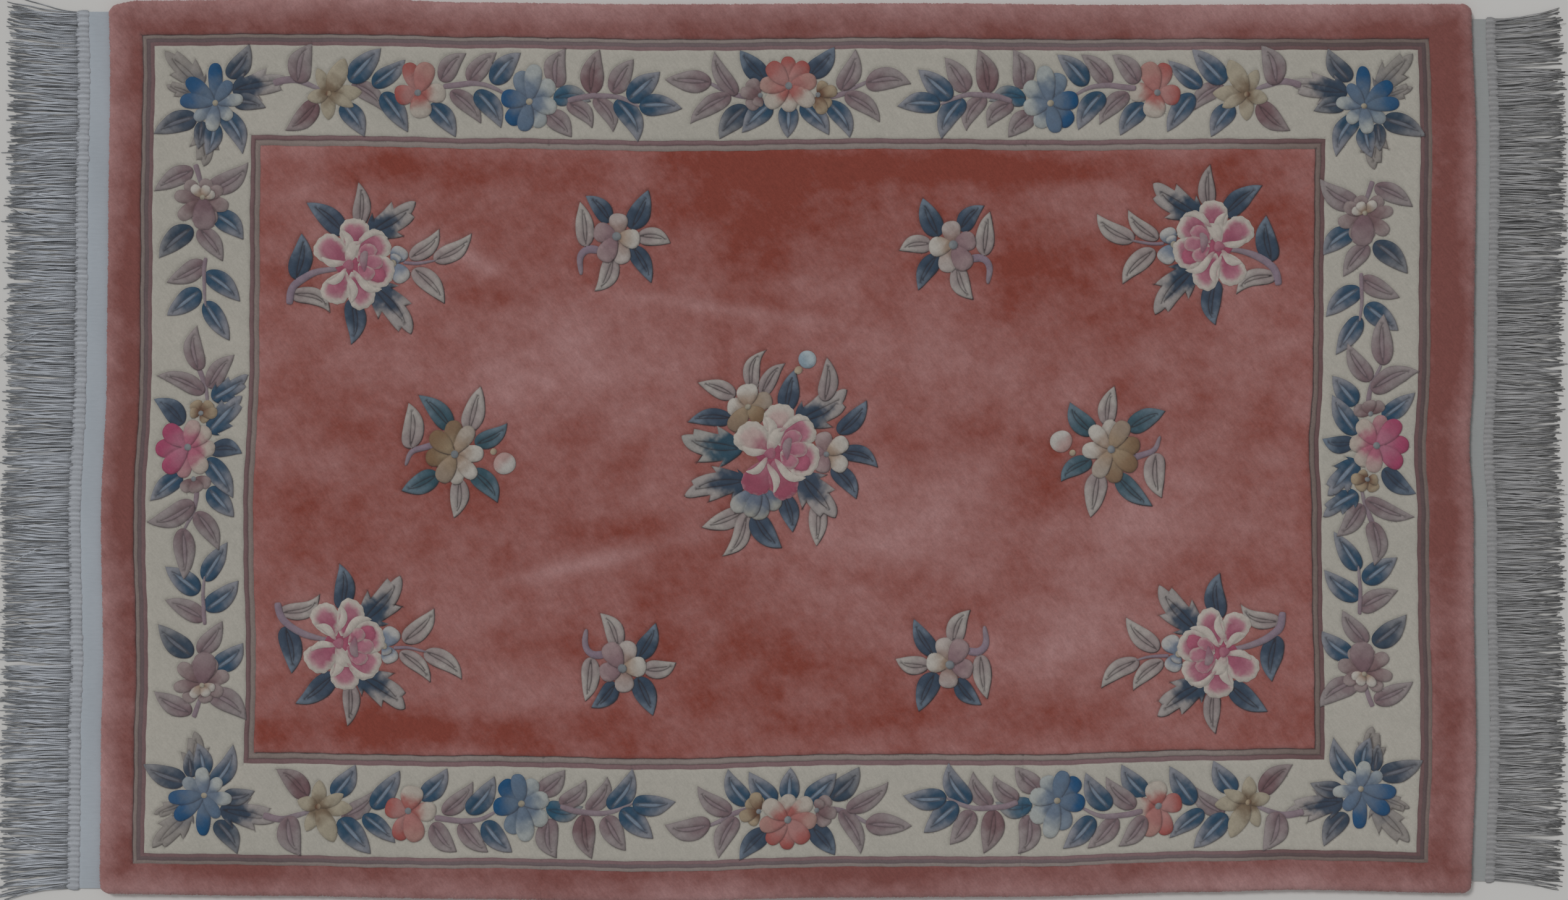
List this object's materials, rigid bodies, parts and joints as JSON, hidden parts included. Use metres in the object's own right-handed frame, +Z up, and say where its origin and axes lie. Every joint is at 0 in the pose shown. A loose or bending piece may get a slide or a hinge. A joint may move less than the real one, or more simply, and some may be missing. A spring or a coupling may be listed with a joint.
{
  "type": "peking rug",
  "caption": "Rectangular hand-knotted wool rug with carved pile, cotton webs and knotted fringe at both ends, lying flat.",
  "frame": {"origin": "middle of the rug's bounding box, on the floor that its underside rests on", "axes": "+X along the rug's length towards the end with the narrower web, +Y across its width, +Z up out of the pile"},
  "size_m": [2.1346, 1.2302, 0.015],
  "materials": {
    "rose_wool": "dense cut wool pile, dusty rose, with the light and dark lay of brushed pile",
    "cream_wool": "dense cut wool pile in cream, with dyed flowers and leaves",
    "cotton_web": "fine flat-woven white cotton",
    "cotton_yarn": "plied undyed cotton yarn, slightly fuzzy"
  },
  "bodies": {
    "root": {"pile": "rose_wool", "web_left": "cotton_web", "web_right": "cotton_web", "fringe_left": "cotton_yarn", "fringe_right": "cotton_yarn"}
  },
  "joints": []
}
